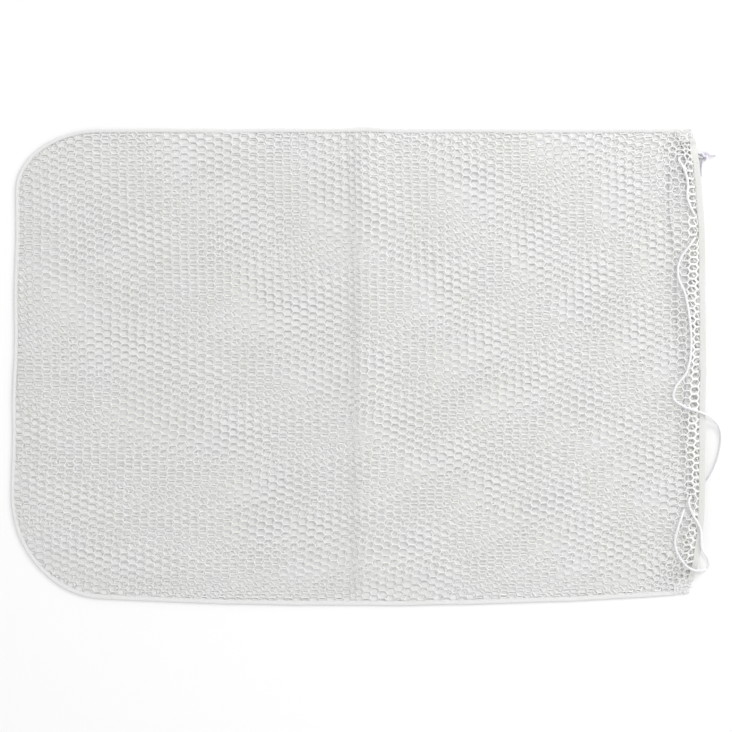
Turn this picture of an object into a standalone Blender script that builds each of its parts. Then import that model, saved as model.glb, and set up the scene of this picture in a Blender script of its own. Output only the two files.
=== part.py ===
"""Mesh laundry bag: two layers of net sewn together round three sides, with a drawcord at the mouth.

Metres, +Z up. The bag lies flat on the plane Z = 0, its closed end at -X and its mouth at +X.
The origin is the middle of the bag's outline, on the plane that it lies on.
The net layers are plain sheets here. Only the net cells that the drawcord passes through are cut.
"""

from math import cos, pi, sin

import bmesh
import bpy
import numpy as np

# The bag's outline
HALF_LENGTH = 0.4525
HALF_WIDTH = 0.311
UPPER_CORNER = (0.111, 0.081)  # half axes of the rounded corner at -X +Y
LOWER_CORNER = (0.122, 0.135)  # half axes of the rounded corner at -X -Y
END_SLANT = 0.006  # how much shorter the bag is at the top of its closed end
END_WAVE = 0.001
LOWER_BOW = 0.078  # curvature of the lower side, per metre
CREASE_X = 0.009  # where the fold across the bag meets the upper side
CREASE_PEAK = 0.0018
CREASE_SPREAD = 0.030
MOUTH_DROP_UPPER = 0.017  # how far the mouth edge falls back at the upper corner
MOUTH_POWER_UPPER = 4.4
MOUTH_DROP_LOWER = 0.0285
MOUTH_POWER_LOWER = 6.0

# The layers
GAP = 0.0003
NET = 0.0008
LOFT = 0.0090  # inner face of the front layer above the table, away from the seam
RIM = NET + GAP  # inner face of the front layer where it meets the seam
RAMP = 0.040  # distance from the seam over which the front layer rises

# The sewn edges
SEAM_WIDTH = 0.0050
SEAM_HEIGHT = 0.0026
SEAM_ROUND = 0.0009
HEM_WIDTH = 0.0080
HEM_THICKNESS = 0.0012
BARTACK_LENGTH = 0.021
UPPER_BARTACK_WIDTH = 0.016
LOWER_BARTACK_WIDTH = 0.020
BARTACK_HEIGHT = 0.0032
BARTACK_EDGE = 0.0020

# The drawcord
CORD_RADIUS = 0.0015
KNOT_CENTRE = (0.4528, 0.2745, 0.0043)
KNOT_HALF_SIZE = (0.0053, 0.0074, 0.0040)
THREADED_CELLS = [  # centre and radius of each net cell that the cord passes through
    (0.4192, 0.2684, 0.0074),
    (0.4362, 0.2000, 0.0058),
    (0.4362, 0.1640, 0.0058),
    (0.4328, -0.1732, 0.0060),
    (0.4240, -0.1892, 0.0062),
]

# How finely the curves are cut
CORNER_STEPS = 7
SIDE_STEPS = 15
END_STEPS = 10
HEM_STEPS = 26
SHEET_ROWS = (0.0, 0.013, 0.030, 0.048, 0.068, 0.18, 0.34, 0.5, 0.66, 0.82, 0.932, 0.952, 0.970, 0.987, 1.0)
HOLE_SIDES = 16
CURVE_STEPS = 8
TURN_LENGTH = 0.012  # a turn of one radian takes as many of a cord's points as this length of it
DRAWCORD_POINTS = 84
TAIL_POINTS = 5

DRAWCORD_ROUTE = [  # from the knot, along the front layer, back through the net and along the inside
    (0.4470, 0.2722, 0.0040),
    (0.4365, 0.2755, 0.0032),
    (0.4245, 0.2750, 0.0046),
    (0.4178, 0.2690, 0.0088),
    (0.4225, 0.2605, 0.0119),
    (0.4287, 0.2420, 0.0116),
    (0.4290, 0.2190, 0.0116),
    (0.4340, 0.2045, 0.0117),
    (0.4395, 0.1940, 0.0068),
    (0.4400, 0.1700, 0.0068),
    (0.4335, 0.1595, 0.0117),
    (0.4190, 0.1380, 0.0116),
    (0.4165, 0.1180, 0.0116),
    (0.4265, 0.0910, 0.0116),
    (0.4337, 0.0270, 0.0116),
    (0.4280, -0.0070, 0.0116),
    (0.4130, -0.0285, 0.0116),
    (0.4110, -0.0425, 0.0116),
    (0.4240, -0.0525, 0.0117),
    (0.4540, -0.0640, 0.0124),
    (0.4690, -0.0765, 0.0040),
    (0.4735, -0.0900, 0.0020),
    (0.4695, -0.1190, 0.0019),
    (0.4560, -0.1475, 0.0033),
    (0.4390, -0.1635, 0.0038),
    (0.4305, -0.1765, 0.0116),
    (0.4350, -0.1915, 0.0120),
    (0.4455, -0.2120, 0.0121),
    (0.4478, -0.2385, 0.0120),
    (0.4560, -0.2520, 0.0095),
    (0.4560, -0.2625, 0.0086),
    (0.4450, -0.2668, 0.0094),
    (0.4290, -0.2615, 0.0110),
    (0.4128, -0.2340, 0.0116),
    (0.4215, -0.1950, 0.0117),
    (0.4285, -0.1790, 0.0038),
    (0.4300, -0.1620, 0.0029),
    (0.4285, -0.1150, 0.0027),
    (0.4225, -0.0850, 0.0027),
    (0.4295, -0.0100, 0.0027),
    (0.4175, 0.0600, 0.0027),
    (0.4155, 0.1350, 0.0027),
    (0.4068, 0.2080, 0.0027),
    (0.4115, 0.2680, 0.0027),
    (0.4240, 0.2815, 0.0028),
    (0.4470, 0.2768, 0.0040),
]
UPPER_TAIL_ROUTE = [(0.4584, 0.2752, 0.0040), (0.4630, 0.2748, 0.0034), (0.4678, 0.2745, 0.0030)]
LOWER_TAIL_ROUTE = [(0.4500, 0.2662, 0.0028), (0.4497, 0.2580, 0.0019), (0.4492, 0.2478, 0.0017)]


# ---- small tools ----------------------------------------------------------------------------


def clear_scene():
    """Starts from an empty scene."""
    for thing in list(bpy.data.objects):
        bpy.data.objects.remove(thing)


def material(name, colour, roughness):
    """A Principled material of one colour."""
    made = bpy.data.materials.new(name)
    made.use_nodes = True
    shader = made.node_tree.nodes["Principled BSDF"]
    shader.inputs["Base Color"].default_value = (*colour, 1.0)
    shader.inputs["Roughness"].default_value = roughness
    shader.inputs["Metallic"].default_value = 0.0
    return made


def solid(name, vertices, faces, finish):
    """A closed mesh object from its points and faces."""
    mesh = bpy.data.meshes.new(name)
    mesh.from_pydata([tuple(point) for point in vertices], [], faces)
    tidy = bmesh.new()
    tidy.from_mesh(mesh)
    bmesh.ops.recalc_face_normals(tidy, faces=tidy.faces)
    tidy.to_mesh(mesh)
    tidy.free()
    mesh.materials.append(finish)
    made = bpy.data.objects.new(name, mesh)
    bpy.context.scene.collection.objects.link(made)
    return made


def ease(share):
    """A smooth step from 0 to 1."""
    held = np.clip(share, 0.0, 1.0)
    return held * held * (3 - 2 * held)


def sheet_solid(name, lower, upper, finish):
    """A closed sheet between two grids of points of the same shape."""
    rows, columns = lower.shape[:2]
    layer = rows * columns
    vertices = np.concatenate([lower.reshape(-1, 3), upper.reshape(-1, 3)])
    faces = []
    for i in range(rows - 1):
        for j in range(columns - 1):
            at = i * columns + j
            quad = (at, at + 1, at + columns + 1, at + columns)
            faces.append(quad[::-1])
            faces.append(tuple(corner + layer for corner in quad))
    rim = [i * columns for i in range(rows)]
    rim += [(rows - 1) * columns + j for j in range(1, columns)]
    rim += [i * columns + columns - 1 for i in range(rows - 2, -1, -1)]
    rim += [j for j in range(columns - 2, 0, -1)]
    for here, there in zip(rim, rim[1:] + rim[:1]):
        faces.append((here, there, there + layer, here + layer))
    return solid(name, vertices, faces, finish)


def swept_solid(name, rings, finish):
    """A closed bar through rings of points, all with the same number of points."""
    stations, sides = rings.shape[:2]
    faces = [tuple(range(sides))]
    for i in range(stations - 1):
        for j in range(sides):
            here = i * sides + j
            beside = i * sides + (j + 1) % sides
            faces.append((here, here + sides, beside + sides, beside))
    last = (stations - 1) * sides
    faces.append(tuple(last + j for j in range(sides))[::-1])
    return solid(name, rings.reshape(-1, 3), faces, finish)


def smooth_route(route, steps):
    """Points on the centripetal Catmull-Rom curve through a route, steps of them to each stretch."""
    points = [np.array(point) for point in route]
    points = [2 * points[0] - points[1], *points, 2 * points[-1] - points[-2]]
    curve = []
    for before, start, end, after in zip(points, points[1:], points[2:], points[3:]):
        first = np.sqrt(np.linalg.norm(start - before))
        second = first + np.sqrt(np.linalg.norm(end - start))
        third = second + np.sqrt(np.linalg.norm(after - end))
        for step in range(steps):
            t = first + (second - first) * step / steps
            a = before + (start - before) * t / first
            b = start + (end - start) * (t - first) / (second - first)
            c = end + (after - end) * (t - second) / (third - second)
            d = a + (b - a) * t / second
            e = b + (c - b) * (t - first) / (third - first)
            curve.append(d + (e - d) * (t - first) / (second - first))
    curve.append(points[-2])
    return curve


def spaced_route(route, count):
    """That many points along the smooth curve through a route, closer together where it bends."""
    curve = np.array(smooth_route(route, CURVE_STEPS))
    run = np.diff(curve, axis=0)
    length = np.linalg.norm(run, axis=1)
    way = run / length[:, None]
    turn = np.arccos(np.clip((way[1:] * way[:-1]).sum(1), -1, 1))
    bend = np.concatenate([[0.0], (turn[1:] + turn[:-1]) / 2, [0.0, 0.0]])[: len(length)]
    along = np.concatenate([[0.0], np.cumsum(length + TURN_LENGTH * bend)])
    at = np.linspace(0, along[-1], count)
    return np.stack([np.interp(at, along, curve[:, k]) for k in range(3)], axis=1)


def cord_solid(name, route, count, radius, finish):
    """A round cord along a route, as a curve with a bevel and filled ends."""
    points = spaced_route(route, count)
    line = bpy.data.curves.new(name, "CURVE")
    line.dimensions = "3D"
    line.bevel_depth = radius
    line.bevel_resolution = 2
    line.use_fill_caps = True
    spline = line.splines.new("POLY")
    spline.points.add(len(points) - 1)
    for held, point in zip(spline.points, points):
        held.co = (*point, 1.0)
    line.materials.append(finish)
    made = bpy.data.objects.new(name, line)
    bpy.context.scene.collection.objects.link(made)
    return made


def cut(target, cutter):
    """Takes the cutter's shape out of the target."""
    cutter.hide_render = True
    cutter.display_type = "WIRE"
    opening = target.modifiers.new(cutter.name, "BOOLEAN")
    opening.operation = "DIFFERENCE"
    opening.object = cutter


# ---- the bag's outline ----------------------------------------------------------------------


def upper_side(x):
    """The upper side's Y at X, with the small peak where the fold meets it."""
    return HALF_WIDTH - CREASE_PEAK * (1 - np.exp(-(((x - CREASE_X) / CREASE_SPREAD) ** 2)))


def lower_side(x):
    """The lower side's Y at X, a shallow bow."""
    return -HALF_WIDTH + LOWER_BOW * x * x


def mouth_edge(y):
    """The mouth edge's X at Y, which falls back towards both corners."""
    share = abs(y) / HALF_WIDTH
    if y > 0:
        return HALF_LENGTH - MOUTH_DROP_UPPER * share**MOUTH_POWER_UPPER
    return HALF_LENGTH - MOUTH_DROP_LOWER * share**MOUTH_POWER_LOWER


def corner_arc(centre, half_axes, side, inset):
    """The rounded corner from the closed end to a side. side is 1 above and -1 below."""
    arc = []
    for step in range(CORNER_STEPS):
        turn = pi / 2 * step / (CORNER_STEPS - 1)
        out = np.array([-cos(turn) / half_axes[0], side * sin(turn) / half_axes[1]])
        out /= np.linalg.norm(out)
        x = centre[0] - half_axes[0] * cos(turn) - inset * out[0]
        y = centre[1] + side * half_axes[1] * sin(turn) - inset * out[1]
        arc.append((x, y))
    return arc


def corner_centres():
    """The centres of the two rounded corners, the upper one first."""
    upper_x = -HALF_LENGTH + END_SLANT + UPPER_CORNER[0]
    lower_x = -HALF_LENGTH + LOWER_CORNER[0]
    upper = (upper_x, upper_side(upper_x) - UPPER_CORNER[1])
    lower = (lower_x, lower_side(lower_x) + LOWER_CORNER[1])
    return upper, lower


def mouth_corner(side, side_inset, mouth_inset):
    """The corner where a side meets the mouth edge, each moved inwards by its inset."""
    x = HALF_LENGTH
    for _ in range(12):
        y = upper_side(x) - side_inset if side > 0 else lower_side(x) + side_inset
        x = mouth_edge(y) - mouth_inset
    return x, y


def side_chain(side, inset, mouth_inset):
    """Points from the closed end round a corner and along a side to the mouth."""
    centre = corner_centres()[0 if side > 0 else 1]
    half_axes = UPPER_CORNER if side > 0 else LOWER_CORNER
    chain = corner_arc(centre, half_axes, side, inset)
    end = mouth_corner(side, inset, mouth_inset)[0]
    for step in range(1, SIDE_STEPS + 1):
        x = centre[0] + (end - centre[0]) * step / SIDE_STEPS
        y = upper_side(x) - inset if side > 0 else lower_side(x) + inset
        chain.append((x, y))
    return np.array(chain)


def end_edge(inset, shares):
    """Points up the closed end between the rounded corners, at shares of its height."""
    upper, lower = corner_centres()
    points = []
    for share in shares:
        wave = END_WAVE * (1 - cos(6 * pi * share)) / 2
        x = -HALF_LENGTH + END_SLANT * share + wave + inset
        points.append((x, lower[1] + (upper[1] - lower[1]) * share))
    return np.array(points)


def seam_path(inset, mouth_inset):
    """The sewn edge from the mouth's upper corner round the closed end to its lower corner."""
    upper = side_chain(1, inset, mouth_inset)[::-1]
    lower = side_chain(-1, inset, mouth_inset)
    end = end_edge(inset, np.linspace(1, 0, END_STEPS + 1)[1:-1])
    return np.concatenate([upper, end, lower])


def mouth_path(inset, low, high):
    """Points up the mouth edge from Y low to Y high."""
    ys = np.linspace(low, high, HEM_STEPS + 1)
    return np.array([(mouth_edge(y) - inset, y) for y in ys])


def panel_grid():
    """Points over a net layer, inside the seam and the mouth hem: columns run from side to side."""
    side_inset = SEAM_WIDTH + GAP
    mouth_inset = HEM_WIDTH + GAP
    lower = side_chain(-1, side_inset, mouth_inset)
    upper = side_chain(1, side_inset, mouth_inset)
    rows = np.array(SHEET_ROWS)
    end = end_edge(side_inset, rows)
    ys = lower[-1, 1] + (upper[-1, 1] - lower[-1, 1]) * rows
    mouth = np.array([(mouth_edge(y) - mouth_inset, y) for y in ys])
    middle = (lower[:, 0] + upper[:, 0]) / 2
    along = ((middle - middle[0]) / (middle[-1] - middle[0]))[:, None, None]
    across = rows[None, :, None]
    sides = lower[:, None] * (1 - across) + upper[:, None] * across
    ends = end[None] * (1 - along) + mouth[None] * along
    first = lower[0] * (1 - across) + upper[0] * across
    last = lower[-1] * (1 - across) + upper[-1] * across
    return sides + ends - (first * (1 - along) + last * along)


def distance_to_seam(points):
    """Each point's distance from the inner edge of the seam."""
    path = seam_path(SEAM_WIDTH + GAP, 0.0)
    start = path[:-1]
    run = path[1:] - start
    offset = points[..., None, :] - start
    share = np.clip((offset * run).sum(-1) / (run * run).sum(-1), 0, 1)
    nearest = start + share[..., None] * run
    return np.linalg.norm(points[..., None, :] - nearest, axis=-1).min(-1)


def front_height(points):
    """The inner face of the front layer above the table, at points of the plan."""
    return RIM + (LOFT - RIM) * ease(distance_to_seam(points) / RAMP)


def lifted(points, height):
    """Points of the plan with a height added."""
    flat = np.broadcast_to(height, points.shape[:-1])
    return np.concatenate([points, flat[..., None]], axis=-1)


# ---- the pieces -----------------------------------------------------------------------------


def make_net_layers(net):
    """The back layer flat on the table, and the front layer with room for laundry under it."""
    plan = panel_grid()
    back = sheet_solid("back_net_panel", lifted(plan, 0.0), lifted(plan, NET), net)
    height = front_height(plan)
    front = sheet_solid("front_net_panel", lifted(plan, height), lifted(plan, height + NET), net)
    return back, front


def make_seam(thread):
    """The overlock seam, a flat-bottomed bead round three sides."""
    width = SEAM_WIDTH
    top = SEAM_HEIGHT
    soft = SEAM_ROUND
    profile = [
        (soft / 2, 0.0),
        (width, 0.0),
        (width, top - soft),
        (width - soft, top),
        (2 * soft, top),
        (soft / 2, top - soft),
        (0.0, top / 2),
        (0.0, soft / 2),
    ]
    lines = [lifted(seam_path(inset, BARTACK_LENGTH + GAP), z) for inset, z in profile]
    return swept_solid("perimeter_overlock_seam", np.stack(lines, axis=1), thread)


def make_hems(thread):
    """The two overlocked mouth edges, from one bartack to the other."""
    low = mouth_corner(-1, LOWER_BARTACK_WIDTH + GAP, 0.0)[1]
    high = mouth_corner(1, UPPER_BARTACK_WIDTH + GAP, 0.0)[1]
    inner = mouth_path(HEM_WIDTH, low, high)
    outer = mouth_path(0.0, low, high)
    middle = front_height(mouth_path(HEM_WIDTH / 2, low, high))
    for name, base in (("back_mouth_hem", 0.0 * middle), ("front_mouth_hem", middle)):
        top = base + HEM_THICKNESS
        lines = [lifted(inner, base), lifted(outer, base), lifted(outer, top), lifted(inner, top)]
        swept_solid(name, np.stack(lines, axis=1), thread)


def bartack_plan(side, width, spare):
    """Points over a mouth corner. spare widens it on its two inner sides."""
    plan = []
    for i in range(4):
        inset = (width + spare) * i / 3
        row = []
        for j in range(5):
            back = (BARTACK_LENGTH + spare) * (1 - j / 4)
            row.append(mouth_corner(side, inset, back))
        plan.append(row)
    return np.array(plan)


def make_bartack(name, side, width, thread):
    """The block of stitches at a mouth corner, lower round its rim than in its middle."""
    plan = bartack_plan(side, width, 0.0)
    height = np.full(plan.shape[:2], BARTACK_EDGE)
    height[1:-1, 1:-1] = BARTACK_HEIGHT
    return sheet_solid(name, lifted(plan, 0.0), lifted(plan, height), thread)


def make_bartack_cutter(name, side, width):
    """The room that a bartack takes out of the net layers."""
    plan = bartack_plan(side, width, GAP)
    return sheet_solid(name, lifted(plan, -LOFT), lifted(plan, 2 * LOFT), None)


def make_cell_cutter():
    """One upright post through each net cell that the drawcord passes through."""
    posts = bmesh.new()
    for x, y, radius in THREADED_CELLS:
        made = bmesh.ops.create_cone(
            posts, cap_ends=True, segments=HOLE_SIDES, radius1=radius, radius2=radius, depth=LOFT
        )
        bmesh.ops.translate(posts, verts=made["verts"], vec=(x, y, LOFT))
    mesh = bpy.data.meshes.new("threaded_cells")
    posts.to_mesh(mesh)
    posts.free()
    made = bpy.data.objects.new("threaded_cells", mesh)
    bpy.context.scene.collection.objects.link(made)
    return made


def make_knot(cord):
    """The knot's outer shape."""
    ball = bmesh.new()
    bmesh.ops.create_uvsphere(ball, u_segments=16, v_segments=10, radius=1.0)
    for vertex in ball.verts:
        for axis in range(3):
            vertex.co[axis] = vertex.co[axis] * KNOT_HALF_SIZE[axis] + KNOT_CENTRE[axis]
    mesh = bpy.data.meshes.new("drawcord_knot")
    ball.to_mesh(mesh)
    ball.free()
    mesh.materials.append(cord)
    made = bpy.data.objects.new("drawcord_knot", mesh)
    bpy.context.scene.collection.objects.link(made)


def main():
    clear_scene()
    net = material("white_net", (0.90, 0.91, 0.90), 0.75)
    thread = material("white_thread", (0.92, 0.93, 0.91), 0.65)
    cord = material("white_cord", (0.90, 0.89, 0.93), 0.60)

    back, front = make_net_layers(net)
    upper_room = make_bartack_cutter("upper_bartack_room", 1, UPPER_BARTACK_WIDTH)
    lower_room = make_bartack_cutter("lower_bartack_room", -1, LOWER_BARTACK_WIDTH)
    for layer in (back, front):
        cut(layer, upper_room)
        cut(layer, lower_room)
    cut(front, make_cell_cutter())

    make_seam(thread)
    make_hems(thread)
    make_bartack("upper_mouth_bartack", 1, UPPER_BARTACK_WIDTH, thread)
    make_bartack("lower_mouth_bartack", -1, LOWER_BARTACK_WIDTH, thread)

    cord_solid("drawcord", DRAWCORD_ROUTE, DRAWCORD_POINTS, CORD_RADIUS, cord)
    make_knot(cord)
    cord_solid("upper_cord_tail", UPPER_TAIL_ROUTE, TAIL_POINTS, CORD_RADIUS, cord)
    cord_solid("lower_cord_tail", LOWER_TAIL_ROUTE, TAIL_POINTS, CORD_RADIUS, cord)


main()
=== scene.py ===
"""Looks of the mesh laundry bag: two layers of hexagonal net, an overlock seam and a drawcord.

Metres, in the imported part's own frame: the closed end at -X, the mouth at +X, +Z up, and the
bag lying on the plane Z = 0. The outline, the heights and the cord's route are the part's own.
Only the lower tail lies a little closer to the hem than the part's solid does.
"""

from math import cos, pi, sin

import bmesh
import bpy
import numpy as np
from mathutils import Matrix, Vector


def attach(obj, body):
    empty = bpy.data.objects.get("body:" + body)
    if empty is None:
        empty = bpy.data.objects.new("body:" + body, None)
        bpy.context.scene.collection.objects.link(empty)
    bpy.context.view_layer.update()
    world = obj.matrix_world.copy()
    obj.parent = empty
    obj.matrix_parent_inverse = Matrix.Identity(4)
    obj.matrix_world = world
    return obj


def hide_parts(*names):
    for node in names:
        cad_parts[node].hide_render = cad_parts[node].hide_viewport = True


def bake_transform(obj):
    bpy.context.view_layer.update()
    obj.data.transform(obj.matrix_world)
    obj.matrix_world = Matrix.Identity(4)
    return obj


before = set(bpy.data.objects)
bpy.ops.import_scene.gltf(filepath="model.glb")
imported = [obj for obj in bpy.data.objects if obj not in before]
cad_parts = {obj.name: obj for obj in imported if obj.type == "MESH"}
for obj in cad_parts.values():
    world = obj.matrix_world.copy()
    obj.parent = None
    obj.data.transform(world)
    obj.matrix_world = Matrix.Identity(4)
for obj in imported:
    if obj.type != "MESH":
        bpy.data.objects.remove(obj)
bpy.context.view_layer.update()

# ---- the bag's outline, as the part has it ----
HALF_LENGTH = 0.4525
HALF_WIDTH = 0.311
UPPER_CORNER = (0.111, 0.081)
LOWER_CORNER = (0.122, 0.135)
END_SLANT = 0.006
END_WAVE = 0.001
LOWER_BOW = 0.078
CREASE_X = 0.009
CREASE_PEAK = 0.0018
CREASE_SPREAD = 0.030
MOUTH_DROP_UPPER = 0.017
MOUTH_POWER_UPPER = 4.4
MOUTH_DROP_LOWER = 0.0285
MOUTH_POWER_LOWER = 6.0
LOFT = 0.0090
RIM = 0.0011
RAMP = 0.040
SEAM_WIDTH = 0.0050
SEAM_HEIGHT = 0.0026
HEM_WIDTH = 0.0080
HEM_THICKNESS = 0.0011
BARTACK_LENGTH = 0.021
UPPER_BARTACK_WIDTH = 0.016
LOWER_BARTACK_WIDTH = 0.020
SEWN_UNDER = 0.004  # how far the seam and the hems run on under the stitches at a corner
CORNER_PEAK = 0.0024  # how far the stitches at the upper mouth corner reach past the side
CORNER_PEAK_X = 0.4335
CORNER_PEAK_SPREAD = 0.0040
SEAM_PITCH = 0.0025  # from one loop of thread to the next
HEM_PITCH = 0.0026
LOOP_HEIGHT = 0.00030  # how far the loops of thread stand out
SEAM_WOBBLE = 0.00028
HEM_WOBBLE = 0.00060
HEM_FRAY = 0.0007  # how far the hem's inner side wanders
BARTACK_LAP = 0.0012  # how far a block of stitches laps onto the seam and the hem
BARTACK_RUMPLE = 0.0022
EDGE_SPACING = 0.00042  # between rings of points along the seam and the hems

# ---- the net ----
COLUMN_PITCH = 0.01096  # from a column of cells to the next, which sits half a cell higher
ROW_PITCH = 0.00974
LEAN = -0.035  # how far the columns lean
STRUT_HALF = 0.0038  # half the length of a strut along X, from joint to joint
STRUT_WIDTH = 0.0025  # a strut along X is a chain of loops, wider than the slanted ones
LEG_WIDTH = 0.0019
HOLE_ROUNDING = 0.0008
SIDES = 6
YARN_RISE = 0.00046  # half the yarn's thickness
LATTICE_COLUMNS = 62  # columns of cells on each side of the middle, more than the bag has
LATTICE_HALF_ROWS = 110
KEY_COLUMNS = 500  # these three turn a joint's column and half row into one whole number
KEY_HALF_ROWS = 1000
KEY_STRIDE = 2000
JOINT_SCATTER = 0.00013
HOLE_SCATTER = 0.018
RISE_SCATTER = 0.05
WANDER = 0.0016  # how far the cells stray in slow waves
SIDE_CELL_INSET = 0.0005  # how far inside the outline the outermost cells are centred
MOUTH_CELL_INSET = 0.0035
SIDE_SQUEEZE = (0.0062, 0.0028)  # net nearer to the side than the first lies past the second
MOUTH_SQUEEZE = (0.0105, 0.0048)
TURNED_IN_DEPTH = 0.0125  # how far the net's cut edge is folded in behind the mouth hem
TURNED_IN_LOWER_SHARE = 0.75  # of that depth, in the lower half
TURNED_IN_LOWER_END = -0.232
TURNED_IN_CLEARANCE = 0.0095  # from the cells that the cord goes through
THREAD_PULL_REACH = 0.020  # how far round a threaded cell the net is pulled aside
THREAD_PUSH_REACH = 0.022
THREAD_PUSH = 0.78
CORNER_GATHER = 0.30  # how far the net is drawn together beside the sewn mouth corners
CORNER_TWISTS = ((0.300, -0.42, 0.045), (-0.285, 0.34, 0.040))  # Y, turn and reach
CORNER_TWIST_X = 0.415
CORNER_RUMPLE = 0.0030
CREASE_HEIGHT = 0.0030
CREASE_STEEP_SIDE = 0.009
CREASE_GENTLE_SIDE = 0.030
CREASE_RIDGE_SHIFT = 0.006  # from the fold in the outline to the top of the ridge
CREASE_SQUEEZE = 0.0038  # how far the cells beside the fold are drawn together
CREASE_SQUEEZE_SHIFT = 0.012
CREASE_SQUEEZE_SPREAD = 0.010
LONG_CREASE_HEIGHT = 0.0012  # the fold along the bag
LONG_CREASE_Y = -0.008
LONG_CREASE_SPREAD = 0.008
PLY_GAP = 0.0008  # from a layer to its own turned-in edge
FRONT_SWELL = 0.0020
BACK_RIPPLE = 0.0009
CALM_X = 0.395  # the layers lie smooth past this X, beside the cord

# How far the back layer's cells have slipped against the front layer's, in metres:
# a shift, its change along X and Y, and its change along X*X, X*Y and Y*Y.
SLIP_ALONG = (-0.0016, 0.020, -0.136, 0.109, -0.080, 0.181)
SLIP_ACROSS = (-0.0006, -0.048, 0.0205, -0.055, -0.025, -0.070)

# ---- the drawcord, by the part's own route ----
CORD_RADIUS = 0.0015
CORD_SIDES = 18
ROUTE_STEPS = 24
BRAID_STRANDS = 5
BRAID_TURN = 0.0115  # the length in which a strand goes once round the cord
BRAID_RELIEF = 0.055
KNOT_CENTRE = (0.4528, 0.2745, 0.0043)
KNOT_HALF_SIZE = (0.0053, 0.0074, 0.0040)
KNOT_LOOPS = ((1.0, 0.00165, 0.5), (0.60, 0.0016, 1.6))  # size, radius of the strand, turn
KNOT_STEPS = 120
KNOT_SIDES = 14
KNOT_VOXEL = 0.00030
THREADED_CELLS = [
    (0.4192, 0.2684, 0.0074),
    (0.4362, 0.2000, 0.0058),
    (0.4362, 0.1640, 0.0058),
    (0.4328, -0.1732, 0.0060),
    (0.4240, -0.1892, 0.0062),
]
DRAWCORD_ROUTE = [
    (0.4470, 0.2722, 0.0040),
    (0.4365, 0.2755, 0.0032),
    (0.4245, 0.2750, 0.0046),
    (0.4178, 0.2690, 0.0088),
    (0.4225, 0.2605, 0.0119),
    (0.4287, 0.2420, 0.0116),
    (0.4290, 0.2190, 0.0116),
    (0.4340, 0.2045, 0.0117),
    (0.4395, 0.1940, 0.0068),
    (0.4400, 0.1700, 0.0068),
    (0.4335, 0.1595, 0.0117),
    (0.4190, 0.1380, 0.0116),
    (0.4165, 0.1180, 0.0116),
    (0.4265, 0.0910, 0.0116),
    (0.4337, 0.0270, 0.0116),
    (0.4280, -0.0070, 0.0116),
    (0.4130, -0.0285, 0.0116),
    (0.4110, -0.0425, 0.0116),
    (0.4240, -0.0525, 0.0117),
    (0.4540, -0.0640, 0.0124),
    (0.4690, -0.0765, 0.0040),
    (0.4735, -0.0900, 0.0020),
    (0.4695, -0.1190, 0.0019),
    (0.4560, -0.1475, 0.0033),
    (0.4390, -0.1635, 0.0038),
    (0.4305, -0.1765, 0.0116),
    (0.4350, -0.1915, 0.0120),
    (0.4455, -0.2120, 0.0121),
    (0.4478, -0.2385, 0.0120),
    (0.4560, -0.2520, 0.0095),
    (0.4560, -0.2625, 0.0086),
    (0.4450, -0.2668, 0.0094),
    (0.4290, -0.2615, 0.0110),
    (0.4128, -0.2340, 0.0116),
    (0.4215, -0.1950, 0.0117),
    (0.4285, -0.1790, 0.0038),
    (0.4300, -0.1620, 0.0029),
    (0.4285, -0.1150, 0.0027),
    (0.4225, -0.0850, 0.0027),
    (0.4295, -0.0100, 0.0027),
    (0.4175, 0.0600, 0.0027),
    (0.4155, 0.1350, 0.0027),
    (0.4068, 0.2080, 0.0027),
    (0.4115, 0.2680, 0.0027),
    (0.4240, 0.2815, 0.0028),
    (0.4470, 0.2768, 0.0040),
]
CORD_ENDS_IN_KNOT = ((0.4502, 0.2727, 0.0042), (0.4502, 0.2762, 0.0042))
UPPER_TAIL_ROUTE = [
    (0.4550, 0.2752, 0.0042),
    (0.4584, 0.2752, 0.0040),
    (0.4630, 0.2748, 0.0034),
    (0.4678, 0.2745, 0.0030),
]
LOWER_TAIL_ROUTE = [
    (0.4522, 0.2705, 0.0038),
    (0.4490, 0.2662, 0.0032),
    (0.4478, 0.2580, 0.0026),
    (0.4478, 0.2478, 0.0024),
]

# ---- the view ----
VIEW_CENTRE_X = 0.0104
VIEW_WIDTH = 0.953
CAMERA_HEIGHT = 4.0
SKY_AT_SIDES = 1.56
SKY_OVERHEAD = 0.54
KEY_LIGHT = ("key", (0.85, 0.85, 3.2), 0.90, 28.0)  # name, place, size and power
SIDE_LIGHT = ("side_softbox", (2.2, 1.6, 1.7), 1.2, 34.0)
FLOOR_REACH = 30.0
FLOOR_LEVEL = -0.0004
FLOOR_GREY = 0.85

# ---- painted shade and painted light that change along the bag ----
# painted shade and painted light across the fold: where along X, and the grey that multiplies the net
# yarn's colour there
PAINTED_FOLD_SHADE_REACH = 0.060  # on each side of the fold
PAINTED_FOLD_SHADE_STEPS = ((0.29, 0.965), (0.37, 0.900), (0.50, 0.985), (0.66, 1.0), (1.0, 0.985))
# painted light on the front net's yarn beside the mouth hem, where the pouch shades it: from which X
# it starts, where it is full, and how much lighter
PAINTED_EDGE_LIGHT_START = 0.424
PAINTED_EDGE_LIGHT_FULL = 0.438
PAINTED_EDGE_LIGHT = 1.17


# ---- small tools ----


def ease(share):
    """A smooth step from 0 to 1."""
    held = np.clip(share, 0.0, 1.0)
    return held * held * (3 - 2 * held)


def mesh_object(name, points, faces, finish):
    """A smooth-shaded mesh object from points and faces."""
    mesh = bpy.data.meshes.new(name)
    mesh.from_pydata(np.asarray(points).tolist(), [], faces)
    mesh.validate()
    mesh.shade_smooth()
    mesh.materials.append(finish)
    made = bpy.data.objects.new(name, mesh)
    bpy.context.scene.collection.objects.link(made)
    return made


def grid_faces(rows, columns, start=0, around=False):
    """Quads over a grid of points. around joins the last column to the first."""
    faces = []
    for i in range(rows - 1):
        for j in range(columns if around else columns - 1):
            here = start + i * columns + j
            beside = start + i * columns + (j + 1) % columns
            faces.append((here, beside, beside + columns, here + columns))
    return faces


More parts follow.
